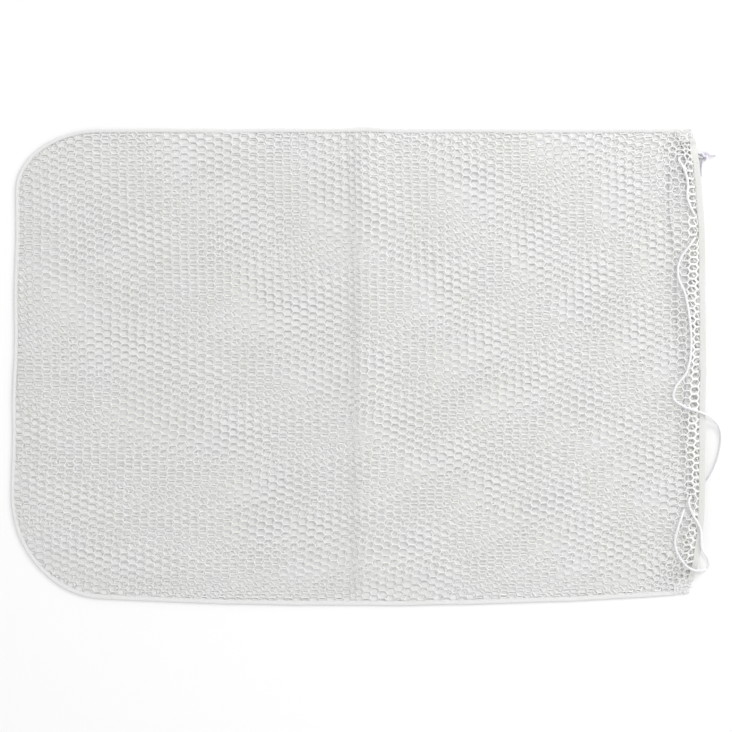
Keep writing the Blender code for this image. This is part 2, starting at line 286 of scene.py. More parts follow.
def swept_object(name, rings, finish):
    """A closed bar through rings of points, with its ends filled by a fan."""
    stations, sides = rings.shape[:2]
    points = np.concatenate([rings.reshape(-1, 3), [rings[0].mean(0), rings[-1].mean(0)]])
    faces = [face[::-1] for face in grid_faces(stations, sides, around=True)]
    first, last = len(points) - 2, len(points) - 1
    end = (stations - 1) * sides
    for j in range(sides):
        faces.append((first, j, (j + 1) % sides))
        faces.append((last, end + (j + 1) % sides, end + j))
    made = mesh_object(name, points, faces, finish)
    face_outwards(made)
    return made


def face_outwards(thing):
    """Turns every face of a closed mesh outwards."""
    tidy = bmesh.new()
    tidy.from_mesh(thing.data)
    bmesh.ops.recalc_face_normals(tidy, faces=tidy.faces)
    tidy.to_mesh(thing.data)
    tidy.free()


def smooth_route(route, steps):
    """Points on the centripetal Catmull-Rom curve through a route, steps of them to each stretch."""
    points = [np.array(point) for point in route]
    points = [2 * points[0] - points[1], *points, 2 * points[-1] - points[-2]]
    curve = []
    for before, start, end, after in zip(points, points[1:], points[2:], points[3:]):
        first = np.sqrt(np.linalg.norm(start - before))
        second = first + np.sqrt(np.linalg.norm(end - start))
        third = second + np.sqrt(np.linalg.norm(after - end))
        for step in range(steps):
            t = first + (second - first) * step / steps
            a = before + (start - before) * t / first
            b = start + (end - start) * (t - first) / (second - first)
            c = end + (after - end) * (t - second) / (third - second)
            d = a + (b - a) * t / second
            e = b + (c - b) * (t - first) / (third - first)
            curve.append(d + (e - d) * (t - first) / (second - first))
    curve.append(points[-2])
    return np.array(curve)


def run_along(path):
    """The distance along a path at each of its points."""
    return np.concatenate([[0.0], np.cumsum(np.linalg.norm(np.diff(path, axis=0), axis=1))])


def spaced(path, spacing):
    """The same path with its points evenly spaced."""
    along = run_along(path)
    count = int(round(along[-1] / spacing)) + 1
    at = np.linspace(0, along[-1], count)
    return np.stack([np.interp(at, along, path[:, k]) for k in range(path.shape[1])], axis=1)


def waves(seed, count, shortest, longest):
    """A few seeded plane waves over the plan, as (direction and rate, phase, share)."""
    chance = np.random.default_rng(seed)
    made = []
    for _ in range(count):
        way = chance.uniform(0, 2 * pi)
        rate = 2 * pi / chance.uniform(shortest, longest)
        made.append((rate * cos(way), rate * sin(way), chance.uniform(0, 2 * pi), 1 / count))
    return made


def wave_height(made, points):
    """The sum of plane waves at points of the plan, from -1 to 1."""
    total = np.zeros(points.shape[:-1])
    for along, across, phase, share in made:
        total += share * np.sin(along * points[..., 0] + across * points[..., 1] + phase)
    return total


# ---- the bag's outline ----


def upper_side(x):
    """The upper side's Y at X, with the small peak where the fold meets it."""
    return HALF_WIDTH - CREASE_PEAK * (1 - np.exp(-(((x - CREASE_X) / CREASE_SPREAD) ** 2)))


def lower_side(x):
    """The lower side's Y at X, a shallow bow."""
    return -HALF_WIDTH + LOWER_BOW * x * x


def mouth_edge(y):
    """The mouth edge's X at Y, which falls back towards both corners."""
    share = np.minimum(np.abs(y) / HALF_WIDTH, 1.1)
    upper = HALF_LENGTH - MOUTH_DROP_UPPER * share**MOUTH_POWER_UPPER
    lower = HALF_LENGTH - MOUTH_DROP_LOWER * share**MOUTH_POWER_LOWER
    return np.where(np.asarray(y) > 0, upper, lower)


def corner_centres():
    """The centres of the two rounded corners, the upper one first."""
    upper_x = -HALF_LENGTH + END_SLANT + UPPER_CORNER[0]
    lower_x = -HALF_LENGTH + LOWER_CORNER[0]
    upper = (upper_x, upper_side(upper_x) - UPPER_CORNER[1])
    lower = (lower_x, lower_side(lower_x) + LOWER_CORNER[1])
    return upper, lower


def mouth_corner(side, side_inset, mouth_inset):
    """The corner where a side meets the mouth edge, each moved inwards by its inset."""
    x = HALF_LENGTH
    for _ in range(8):
        y = upper_side(x) - side_inset if side > 0 else lower_side(x) + side_inset
        x = float(mouth_edge(y)) - mouth_inset
    return x, y


def side_chain(side, steps, end_x):
    """Points from the closed end round a corner and along a side to an X near the mouth."""
    centre = corner_centres()[0 if side > 0 else 1]
    half_axes = UPPER_CORNER if side > 0 else LOWER_CORNER
    chain = []
    for step in range(steps):
        turn = pi / 2 * step / steps
        x = centre[0] - half_axes[0] * cos(turn)
        y = centre[1] + side * half_axes[1] * sin(turn)
        chain.append((x, y))
    for x in np.linspace(centre[0], end_x, 2 * steps):
        chain.append((x, upper_side(x) if side > 0 else lower_side(x)))
    return np.array(chain)


def outline(steps, upper_end, lower_end):
    """The bag's edge from the mouth's upper corner round the closed end to its lower corner."""
    upper, lower = corner_centres()
    end = []
    for share in np.linspace(1, 0, steps + 1)[1:-1]:
        wave = END_WAVE * (1 - cos(6 * pi * share)) / 2
        x = -HALF_LENGTH + END_SLANT * share + wave
        end.append((x, lower[1] + (upper[1] - lower[1]) * share))
    first = side_chain(1, steps, upper_end)[::-1]
    return np.concatenate([first, np.array(end), side_chain(-1, steps, lower_end)])


def inset_of(points, path):
    """How far inside the outline each point lies, and the direction inwards there."""
    start = path[:-1]
    run = path[1:] - start
    left = np.stack([-run[:, 1], run[:, 0]], axis=1)
    left /= np.linalg.norm(left, axis=1)[:, None]
    inset = np.empty(len(points))
    inwards = np.empty((len(points), 2))
    for low in range(0, len(points), 8000):
        part = points[low : low + 8000]
        offset = part[:, None] - start
        share = np.clip((offset * run).sum(-1) / (run * run).sum(-1), 0, 1)
        away = offset - share[..., None] * run
        distance = np.linalg.norm(away, axis=-1)
        nearest = distance.argmin(1)
        rows = np.arange(len(part))
        found = away[rows, nearest]
        side = np.sign((found * left[nearest]).sum(1))
        signed = distance[rows, nearest] * np.where(side == 0, 1, side)
        far = np.abs(signed) > 1e-5
        safe = np.where(far, signed, 1)
        inset[low : low + 8000] = signed
        inwards[low : low + 8000] = np.where(far[:, None], found / safe[:, None], left[nearest])
    return inset, inwards


EDGE = outline(24, 0.50, 0.50)


def bartack_distance(points):
    """Each point's distance from the nearer block of stitches at a mouth corner."""
    nearest = np.full(points.shape[:-1], 1.0)
    for side, width in ((1, UPPER_BARTACK_WIDTH), (-1, LOWER_BARTACK_WIDTH)):
        x, y = mouth_corner(side, width, BARTACK_LENGTH)
        along = np.maximum(x - points[..., 0], 0)
        across = np.maximum(side * (y - points[..., 1]), 0)
        nearest = np.minimum(nearest, np.hypot(along, across))
    return nearest


def front_height(points, inset):
    """The inner face of the front layer above the table, lower beside the sewn corners."""
    open_height = (LOFT - RIM) * ease((inset - SEAM_WIDTH) / RAMP)
    away = bartack_distance(points)
    over_stitches = 0.0016 * (1 - ease(away / 0.006)) * ease((inset - 0.002) / 0.004)
    return RIM + over_stitches + open_height * ease(away / 0.018)


# ---- materials ----


def new_material(name, roughness, sheen):
    """A Principled material's nodes, ready for its colour and bump."""
    made = bpy.data.materials.new(name)
    made.use_nodes = True
    nodes = made.node_tree.nodes
    shader = nodes["Principled BSDF"]
    shader.inputs["Roughness"].default_value = roughness
    shader.inputs["Sheen Weight"].default_value = sheen
    shader.inputs["Sheen Roughness"].default_value = 0.5
    shader.inputs["Specular IOR Level"].default_value = 0.35
    place = nodes.new("ShaderNodeTexCoord")
    return made, nodes, made.node_tree.links, shader, place.outputs["Object"]


def noise(nodes, links, place, scale, detail, stretch=(1.0, 1.0, 1.0)):
    """A noise texture in the object's own space, in features of about 1 / scale metres."""
    mapping = nodes.new("ShaderNodeMapping")
    mapping.inputs["Scale"].default_value = stretch
    links.new(place, mapping.inputs["Vector"])
    made = nodes.new("ShaderNodeTexNoise")
    made.inputs["Scale"].default_value = scale
    made.inputs["Detail"].default_value = detail
    links.new(mapping.outputs["Vector"], made.inputs["Vector"])
    return made.outputs["Fac"]


def ramp(nodes, links, value, low, high, low_colour, high_colour):
    """A colour that goes from one to the other as a value goes from low to high."""
    made = nodes.new("ShaderNodeValToRGB")
    made.color_ramp.elements[0].position = low
    made.color_ramp.elements[0].color = (*low_colour, 1.0)
    made.color_ramp.elements[1].position = high
    made.color_ramp.elements[1].color = (*high_colour, 1.0)
    links.new(value, made.inputs["Fac"])
    return made.outputs["Color"]


def multiplied(nodes, links, first, second):
    """The product of two colours."""
    made = nodes.new("ShaderNodeMix")
    made.data_type = "RGBA"
    made.blend_type = "MULTIPLY"
    made.inputs["Factor"].default_value = 1.0
    links.new(first, made.inputs["A"])
    links.new(second, made.inputs["B"])
    return made.outputs["Result"]


def bump(nodes, links, shader, heights, depth):
    """Relief on the shader's normal from a height socket."""
    made = nodes.new("ShaderNodeBump")
    made.inputs["Strength"].default_value = 0.55
    made.inputs["Distance"].default_value = depth
    links.new(heights, made.inputs["Height"])
    links.new(made.outputs["Normal"], shader.inputs["Normal"])


def yarn_material(name, light, shade, tinted, roughness, grain, stretch, depth):
    """Spun white yarn: fibre grain, darker loops here and there, and slow tints."""
    made, nodes, links, shader, place = new_material(name, roughness, 0.15)
    fibres = noise(nodes, links, place, grain, 4.0, stretch)
    loops = noise(nodes, links, place, grain / 3.1, 2.0)
    drift = noise(nodes, links, place, 16.0, 2.0)
    base = ramp(nodes, links, fibres, 0.30, 0.62, shade, light)
    tint = ramp(nodes, links, drift, 0.42, 0.64, (1.0, 1.0, 1.0), tinted)
    deep = ramp(nodes, links, loops, 0.28, 0.50, (0.90, 0.90, 0.90), (1.0, 1.0, 1.0))
    colour = multiplied(nodes, links, base, tint)
    colour = multiplied(nodes, links, colour, deep)
    links.new(colour, shader.inputs["Base Color"])
    matt = nodes.new("ShaderNodeMapRange")
    matt.inputs["To Min"].default_value = roughness - 0.08
    matt.inputs["To Max"].default_value = roughness + 0.10
    links.new(fibres, matt.inputs["Value"])
    links.new(matt.outputs["Result"], shader.inputs["Roughness"])
    bump(nodes, links, shader, fibres, depth)
    return made


def add_glow(finish, weight, depth):
    """Light that soaks a little way into the cord and softens its dark side."""
    shader = finish.node_tree.nodes["Principled BSDF"]
    shader.inputs["Subsurface Weight"].default_value = weight
    shader.inputs["Subsurface Radius"].default_value = (1.0, 1.0, 1.0)
    shader.inputs["Subsurface Scale"].default_value = depth


def coloured(finish):
    """A material's nodes and links, its shader's colour socket, and what feeds that socket."""
    nodes = finish.node_tree.nodes
    base = nodes["Principled BSDF"].inputs["Base Color"]
    return nodes, finish.node_tree.links, base, base.links[0].from_socket


def share_along(nodes, links, low, high):
    """A node that goes from 0 to 1 between two values of the object's own X."""
    place = nodes.new("ShaderNodeTexCoord")
    split = nodes.new("ShaderNodeSeparateXYZ")
    links.new(place.outputs["Object"], split.inputs["Vector"])
    along = nodes.new("ShaderNodeMapRange")
    along.inputs["From Min"].default_value = low
    along.inputs["From Max"].default_value = high
    links.new(split.outputs["X"], along.inputs["Value"])
    return along


def add_painted_edge_light(finish):
    """Painted light on the yarn beside the mouth hem, lifting the shade that falls in the pouch
    there; two plies of the net lie together there too.
    """
    nodes, links, base, colour = coloured(finish)
    along = share_along(nodes, links, PAINTED_EDGE_LIGHT_START, PAINTED_EDGE_LIGHT_FULL)
    along.interpolation_type = "SMOOTHSTEP"
    along.inputs["To Min"].default_value = 1.0
    along.inputs["To Max"].default_value = PAINTED_EDGE_LIGHT
    lighter = nodes.new("ShaderNodeVectorMath")
    lighter.operation = "SCALE"
    links.new(colour, lighter.inputs[0])
    links.new(along.outputs["Result"], lighter.inputs["Scale"])
    links.new(lighter.outputs["Vector"], base)


def add_painted_fold_shade(finish):
    """Painted shade on the steep side of the fold across the bag and painted light on its gentle
    side, multiplied into the yarn's colour.
    """
    nodes, links, base, colour = coloured(finish)
    along = share_along(nodes, links, CREASE_X - PAINTED_FOLD_SHADE_REACH, CREASE_X + PAINTED_FOLD_SHADE_REACH)
    shade = nodes.new("ShaderNodeValToRGB")
    steps = shade.color_ramp.elements
    for step, (share, grey) in ((steps[0], PAINTED_FOLD_SHADE_STEPS[0]), (steps[1], PAINTED_FOLD_SHADE_STEPS[-1])):
        step.position = share
        step.color = (grey, grey, grey, 1.0)
    for share, grey in PAINTED_FOLD_SHADE_STEPS[1:-1]:
        steps.new(share).color = (grey, grey, grey, 1.0)
    links.new(along.outputs["Result"], shade.inputs["Fac"])
    links.new(multiplied(nodes, links, colour, shade.outputs["Color"]), base)


# ---- the camera, the light and the floor ----


def make_camera():
    """Straight above the bag, as far up as a product photographer's column."""
    lens = bpy.data.cameras.new("camera")
    lens.sensor_width = 36.0
    lens.lens = lens.sensor_width * (CAMERA_HEIGHT - LOFT) / VIEW_WIDTH
    lens.clip_end = 50.0
    made = bpy.data.objects.new("camera", lens)
    made.location = (VIEW_CENTRE_X, 0.0, CAMERA_HEIGHT)
    bpy.context.scene.collection.objects.link(made)
    bpy.context.scene.camera = made


def area_light(name, place, size, power):
    """A square light that looks at the bag's middle."""
    lamp = bpy.data.lights.new(name, "AREA")
    lamp.size = size
    lamp.energy = power
    made = bpy.data.objects.new(name, lamp)
    made.location = place
    made.rotation_euler = (-Vector(place)).to_track_quat("-Z", "Y").to_euler()
    made.visible_camera = False
    bpy.context.scene.collection.objects.link(made)


def studio_world():
    """Even light from all round, stronger from the sides than from overhead."""
    world = bpy.data.worlds.new("studio")
    world.use_nodes = True
    nodes = world.node_tree.nodes
    links = world.node_tree.links
    sky = nodes["Background"]
    sky.inputs["Color"].default_value = (1.0, 1.0, 1.0, 1.0)
    place = nodes.new("ShaderNodeTexCoord")
    split = nodes.new("ShaderNodeSeparateXYZ")
    links.new(place.outputs["Generated"], split.inputs["Vector"])
    fall = nodes.new("ShaderNodeMapRange")
    fall.inputs["From Min"].default_value = 0.25
    fall.inputs["From Max"].default_value = 0.80
    fall.inputs["To Min"].default_value = SKY_AT_SIDES
    fall.inputs["To Max"].default_value = SKY_OVERHEAD
    links.new(split.outputs["Z"], fall.inputs["Value"])
    links.new(fall.outputs["Result"], sky.inputs["Strength"])
    return world


def make_light_and_floor():
    """A soft key from the mouth's upper corner, even light from all round, and a pale floor."""
    scene = bpy.context.scene
    scene.view_settings.view_transform = "Standard"
    scene.view_settings.look = "None"
    scene.view_settings.exposure = 0.0
    scene.world = studio_world()
    area_light(*KEY_LIGHT)
    area_light(*SIDE_LIGHT)

    mesh = bpy.data.meshes.new("floor")
    corners = []
    for x, y in ((-1, -1), (1, -1), (1, 1), (-1, 1)):
        corners.append((x * FLOOR_REACH, y * FLOOR_REACH, FLOOR_LEVEL))
    mesh.from_pydata(corners, [], [(0, 1, 2, 3)])
    floor = bpy.data.objects.new("floor", mesh)
    scene.collection.objects.link(floor)
    paper, _, _, shader, _ = new_material("floor_paper", 0.9, 0.0)
    shader.inputs["Base Color"].default_value = (FLOOR_GREY, FLOOR_GREY, FLOOR_GREY, 1.0)
    mesh.materials.append(paper)


# ---- the drawcord ----


def cord_rings(path, end_swell=0.0):
    """Rings round a path, braided: two families of strands that cross round the cord."""
    way = np.gradient(path, axis=0)
    way /= np.linalg.norm(way, axis=1)[:, None]
    along = run_along(path)
    up = np.array([0.0, 0.0, 1.0])
    first = up - way * way[:, 2:3]
    first /= np.linalg.norm(first, axis=1)[:, None]
    second = np.cross(way, first)
    rings = []
    for k in range(CORD_SIDES):
        angle = 2 * pi * k / CORD_SIDES
        spin = 2 * pi * along / BRAID_TURN
        crossing = np.cos(BRAID_STRANDS * (angle + spin)) * np.cos(BRAID_STRANDS * (angle - spin))
        radius = CORD_RADIUS * (0.985 + BRAID_RELIEF * crossing)
        if end_swell:
            left = along[-1] - along
            radius = radius * (1 + end_swell * np.exp(-((left / 0.0011) ** 2)))
            radius = radius * np.sqrt(np.clip(1 - (1 - np.clip(left / 0.0009, 0, 1)) ** 2, 0.05, 1))
        ring = path + radius[:, None] * (cos(angle) * first + sin(angle) * second)
        rings.append(ring)
    return np.stack(rings, axis=1)


def make_cord(finish):
    """The drawcord along the part's route, with its two ends just inside the knot."""
    route = [CORD_ENDS_IN_KNOT[0], *DRAWCORD_ROUTE, CORD_ENDS_IN_KNOT[1]]
    path = spaced(smooth_route(route, ROUTE_STEPS), 0.0005)
    cord = swept_object("drawcord_braid", cord_rings(path), finish)
    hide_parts("drawcord")
    return cord, path


def make_tail(name, route, node, finish):
    """A cut end of the cord beyond the knot, sealed by heat."""
    path = spaced(smooth_route(route, ROUTE_STEPS), 0.0004)
    tail = swept_object(name, cord_rings(path, end_swell=0.12), finish)
    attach(tail, "pull_knot")
    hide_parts(node)
    return tail


def tube_points(path, radius):
    """Rings of a plain tube along a closed path."""
    way = np.roll(path, -1, axis=0) - np.roll(path, 1, axis=0)
    way /= np.linalg.norm(way, axis=1)[:, None]
    up = np.array([0.12, 0.31, 1.0])
    first = up - way * (way @ up)[:, None]
    first /= np.linalg.norm(first, axis=1)[:, None]
    second = np.cross(way, first)
    turns = 2 * pi * np.arange(KNOT_SIDES) / KNOT_SIDES
    towards_first = np.cos(turns)[None, :, None] * first[:, None]
    towards_second = np.sin(turns)[None, :, None] * second[:, None]
    return path[:, None] + radius * (towards_first + towards_second)


def trefoil(t, half_size):
    """A trefoil knot's closed path in a box of the given half size."""
    x = (np.sin(t) + 2 * np.sin(2 * t)) / 3
    y = (np.cos(t) - 2 * np.cos(2 * t)) / 3
    z = -np.sin(3 * t)
    return np.stack([x * half_size[0], y * half_size[1], z * half_size[2]], axis=1)


def make_knot(finish):
    """Both strands tied in one tight overhand knot."""
    points = []
    faces = []
    for size, radius, spin in KNOT_LOOPS:
        t = np.linspace(0, 2 * pi, KNOT_STEPS, endpoint=False)
        reach = [half - radius for half in KNOT_HALF_SIZE]
        path = trefoil(t + spin, reach) * size
        rings = tube_points(path + np.array(KNOT_CENTRE), radius)
        start = len(points)
        points.extend(rings.reshape(-1, 3))
        for i in range(KNOT_STEPS):
            ring = start + i * KNOT_SIDES
            after = start + (i + 1) % KNOT_STEPS * KNOT_SIDES
            for j in range(KNOT_SIDES):
                beside = (j + 1) % KNOT_SIDES
                faces.append((ring + j, ring + beside, after + beside, after + j))
    knot = mesh_object("drawcord_overhand_knot", points, faces, finish)
    face_outwards(knot)
    merge = knot.modifiers.new("merge", "REMESH")
    merge.mode = "VOXEL"
    merge.voxel_size = KNOT_VOXEL
    soften = knot.modifiers.new("soften", "SMOOTH")
    soften.factor = 0.5
    soften.iterations = 2
    apply_modifiers(knot)
    knot.data.shade_smooth()
    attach(knot, "pull_knot")
    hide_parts("drawcord_knot")
    return knot


def apply_modifiers(thing):
    """Turns a modified object into the plain mesh that it shows."""
    depsgraph = bpy.context.evaluated_depsgraph_get()
    shown = bpy.data.meshes.new_from_object(thing.evaluated_get(depsgraph))
    thing.modifiers.clear()
    thing.data = shown


# ---- the net layers ----


def slip(points, terms):
    """How far the back layer's cells have slipped, at points of the plan."""
    x, y = points[..., 0], points[..., 1]
    still, along, across, along_twice, both, across_twice = terms
    return still + along * x + across * y + along_twice * x * x + both * x * y + across_twice * y * y


def net_plan(lattice, share, wander):
    """Where the cells of a layer lie. share is its part of the slip between the two layers."""
    points = lattice.copy()
    points[..., 0] += LEAN * lattice[..., 1]
    moved = points.copy()
    moved[..., 0] += share * slip(points, SLIP_ALONG) + WANDER * wave_height(wander[0], points)
    moved[..., 1] += share * slip(points, SLIP_ACROSS) + WANDER * wave_height(wander[1], points)
    from_fold = (moved[..., 0] - CREASE_X + CREASE_SQUEEZE_SHIFT) / CREASE_SQUEEZE_SPREAD
    moved[..., 0] -= CREASE_SQUEEZE * np.tanh(from_fold)
    for corner_y, twist, reach in CORNER_TWISTS:
        centre = np.array([CORNER_TWIST_X, corner_y])
        offset = moved - centre
        turn = twist * np.exp(-(offset**2).sum(-1) / reach**2)
        x = offset[..., 0] * np.cos(turn) - offset[..., 1] * np.sin(turn)
        y = offset[..., 0] * np.sin(turn) + offset[..., 1] * np.cos(turn)
        drawn_in = 1 - CORNER_GATHER * np.exp(-(offset**2).sum(-1) / reach**2)
        moved = centre + drawn_in[..., None] * np.stack([x, y], axis=-1)
        near = np.exp(-(offset**2).sum(-1) / (1.4 * reach) ** 2)
        for k in range(2):
            moved[..., k] += CORNER_RUMPLE * near * wave_height(wander[2 + k], points)
    return moved


def squeezed(distance, start, end):
    """Distances from an edge, with all that would lie nearer than start packed in before end."""
    spare = start - end
    packed = end + spare * np.exp(np.minimum(distance - start, 0) / spare)
    return np.where(distance < start, packed, distance)


def gathered(points):
    """Points of the plan drawn in under the seam and the mouth hem, and their inset."""
    inset, inwards = inset_of(points, EDGE)
    held = squeezed(inset, *SIDE_SQUEEZE)
    points = points + (held - inset)[:, None] * inwards
    edge = mouth_edge(points[:, 1])
    points[:, 0] = edge - squeezed(edge - points[:, 0], *MOUTH_SQUEEZE)
    return points, held


def hole_outline(scale):
    """The outline of a cell's hole about its centre, with its corners cut, at each scale."""
    half_row = ROW_PITCH / 2
    reach = COLUMN_PITCH - STRUT_HALF
    slope = np.hypot(reach - STRUT_HALF, half_row) / half_row
    top = half_row - STRUT_WIDTH / 2
    tip = reach - LEG_WIDTH / 2 * slope
    shoulder = tip - top * (reach - STRUT_HALF) / half_row
    upper = [(tip, 0), (shoulder, top), (-shoulder, top)]
    lower = [(-tip, 0), (-shoulder, -top), (shoulder, -top)]
    corners = np.array(upper + lower)
    points = []
    for k in range(SIDES):
        here = corners[k]
        for other in (corners[k - 1], corners[(k + 1) % SIDES]):
            way = other - here
            points.append(here + way / np.linalg.norm(way) * HOLE_ROUNDING)
    return scale[:, None, None] * np.array(points)[None]


def pulled(points, cell, shift):
    """Points of the plan drawn along by a cell that is shifted."""
    near = np.exp(-((points - cell) ** 2).sum(-1) / THREAD_PULL_REACH**2)
    return points + near[..., None] * shift


def opened(points, centres):
    """Points of the plan pushed aside where the drawcord comes through the net."""
    for x, y, radius in THREADED_CELLS:
        middle = np.array([x, y])
        cell = centres[np.linalg.norm(centres - middle, axis=1).argmin()]
        points = pulled(points, cell, middle - cell)
        centres = pulled(centres, cell, middle - cell)
        for group in (points, centres):
            offset = group - middle
            away = np.maximum(np.linalg.norm(offset, axis=-1), 1e-6)
            push = (radius * THREAD_PUSH) ** 2 * np.exp(-((away / THREAD_PUSH_REACH) ** 2))
            group += offset * ((np.sqrt(away**2 + push) - away) / away)[..., None]
    return points, centres


def cell_lattice(start):
    """Every cell of a wide even net: its column, its half row and its centre."""
    column_numbers = np.arange(-LATTICE_COLUMNS, LATTICE_COLUMNS + 1)
    half_numbers = np.arange(-LATTICE_HALF_ROWS, LATTICE_HALF_ROWS + 1)
    columns, halves = np.meshgrid(column_numbers, half_numbers, indexing="ij")
    chosen = (columns + halves) % 2 == 0
    columns = columns[chosen]
    halves = halves[chosen]
    centres = start + np.stack([columns * COLUMN_PITCH, halves * ROW_PITCH / 2], axis=1)
    return columns, halves, centres


def turned_in(plan, mouth_room, upper_end):
    """Which cells are in the net's cut edge, folded in behind the mouth hem."""
    upper = ease((plan[:, 1] - 0.005) / 0.06)
    lower = ease((-0.010 - plan[:, 1]) / 0.06)
    share = np.maximum(upper, TURNED_IN_LOWER_SHARE * lower)
    chosen = mouth_room < MOUTH_CELL_INSET + TURNED_IN_DEPTH * share
    chosen &= (plan[:, 1] > TURNED_IN_LOWER_END) & (plan[:, 1] < upper_end)
    for x, y, _ in THREADED_CELLS:
        chosen &= np.hypot(plan[:, 0] - x, plan[:, 1] - y) > TURNED_IN_CLEARANCE
    return chosen


def cell_joints(columns, halves):
    """The numbers of the six joints round each cell, and where the joints lie in an even net."""
    # Each joint is one end of a strut along X: the strut's column and half row, and the side
    corner_steps = ((1, 0, -1), (0, 1, 1), (0, 1, -1), (-1, 0, 1), (0, -1, -1), (0, -1, 1))
    keys = []
    for step, rise, side in corner_steps:
        strut = (columns + step + KEY_COLUMNS) * KEY_STRIDE + halves + rise + KEY_HALF_ROWS
        keys.append(strut * 2 + (side > 0))
    keys = np.stack(keys, axis=1)
    unique, corner = np.unique(keys, return_inverse=True)
    side = np.where(unique % 2 == 1, 1, -1)
    strut_column = unique // 2 // KEY_STRIDE - KEY_COLUMNS
    strut_half = unique // 2 % KEY_STRIDE - KEY_HALF_ROWS
    x = strut_column * COLUMN_PITCH + side * STRUT_HALF
    return corner.reshape(keys.shape), np.stack([x, strut_half * ROW_PITCH / 2], axis=1)


def net_ply(share, seed, middle_height, mouth_closing, turned_in_end, threaded):
    """The points and faces of a closed net: a ring of yarn round each cell, joined to the next."""
    chance = np.random.default_rng(seed)
    wander = [waves(seed + 1 + k, 5, 0.10, 0.30) for k in range(2)]
    wander += [waves(seed + 3 + k, 6, 0.014, 0.040) for k in range(2)]
    start = np.array([0.45 * COLUMN_PITCH, 0.25 * ROW_PITCH]) if turned_in_end else np.zeros(2)
    columns, halves, centres = cell_lattice(start)
    plan = net_plan(centres, share, wander)
    mouth_room = mouth_edge(plan[:, 1]) - plan[:, 0]
    inside = (inset_of(plan, EDGE)[0] > SIDE_CELL_INSET) & (mouth_room > MOUTH_CELL_INSET)
    if turned_in_end:
        inside &= turned_in(plan, mouth_room, turned_in_end)
    centres, plan, mouth_room = centres[inside], plan[inside], mouth_room[inside]

    corner, joints = cell_joints(columns[inside], halves[inside])
    joints += start + chance.normal(0, JOINT_SCATTER, joints.shape)
    scale = 1 + chance.normal(0, HOLE_SCATTER, len(centres))
    scale *= 1 - mouth_closing * ease((0.0235 - mouth_room) / 0.007)
    scale *= 1 - 0.12 * ease((0.042 - bartack_distance(plan)) / 0.035)
    holes = centres[:, None] + hole_outline(scale)

    joints = net_plan(joints, share, wander)
    holes = net_plan(holes, share, wander).reshape(-1, 2)
    if threaded:
        both = opened(np.concatenate([joints, holes]), plan)[0]
        joints, holes = both[: len(joints)], both[len(joints) :]
    joints, joint_inset = gathered(joints)
    holes, hole_inset = gathered(holes)
    joint_height = middle_height(joints, joint_inset)
    rise = YARN_RISE * (1 + chance.normal(0, RISE_SCATTER, len(joints)))
    rise *= 1 - 0.5 * ease((0.0100 - mouth_edge(joints[:, 1]) + joints[:, 0]) / 0.003)
    over = np.column_stack([joints, joint_height + rise])
    under = np.column_stack([joints, joint_height - rise])
    inner = np.column_stack([holes, middle_height(holes, hole_inset)])
    return np.concatenate([over, under, inner]), net_faces(corner, len(joints))


def joined(parts):
    """The points and faces of several meshes as one."""
    points = np.concatenate([part[0] for part in parts])
    faces = []
    start = 0
    for part_points, part_faces in parts:
        faces += [tuple(start + corner for corner in face) for face in part_faces]
        start += len(part_points)
    return points, faces


def net_faces(corner, joints):
    """Faces over and under each cell's ring of yarn, and a wall round the layer's own edge."""
    faces = []
    hole = 2 * joints + np.arange(len(corner))[:, None] * 2 * SIDES + np.arange(2 * SIDES)[None]
    for k in range(SIDES):
        after = (k + 1) % SIDES
        strip = [corner[:, k], corner[:, after], hole[:, 2 * after], hole[:, 2 * k + 1]]
        strip = np.stack(strip, axis=1)
        wedge = np.stack([corner[:, k], hole[:, 2 * k + 1], hole[:, 2 * k]], axis=1)
        faces += strip.tolist()
        faces += wedge.tolist()
        under = strip.copy()
        under[:, :2] += joints
        faces += under[:, ::-1].tolist()
        under = wedge.copy()
        under[:, :1] += joints
        faces += under[:, ::-1].tolist()
    start = corner.ravel()
    end = np.roll(corner, -1, axis=1).ravel()
    forward = start.astype(np.int64) * joints + end
    backward = end.astype(np.int64) * joints + start
    alone = ~np.isin(forward, backward)
    for here, there in zip(start[alone], end[alone]):
        faces.append((int(there), int(here), int(here + joints), int(there + joints)))
    return faces


def crease_height(points):
    """The folds that are left from packing: one across the bag and a fainter one along it."""
    x, y = points[..., 0], points[..., 1]
    from_ridge = x - CREASE_X + CREASE_RIDGE_SHIFT
    spread = np.where(from_ridge < 0, CREASE_STEEP_SIDE, CREASE_GENTLE_SIDE)
    across = CREASE_HEIGHT * np.exp(-((from_ridge / spread) ** 2))
    along = LONG_CREASE_HEIGHT * np.exp(-(((y - LONG_CREASE_Y) / LONG_CREASE_SPREAD) ** 2))
    return across + along * (0.7 + 0.3 * np.sin(9 * x))


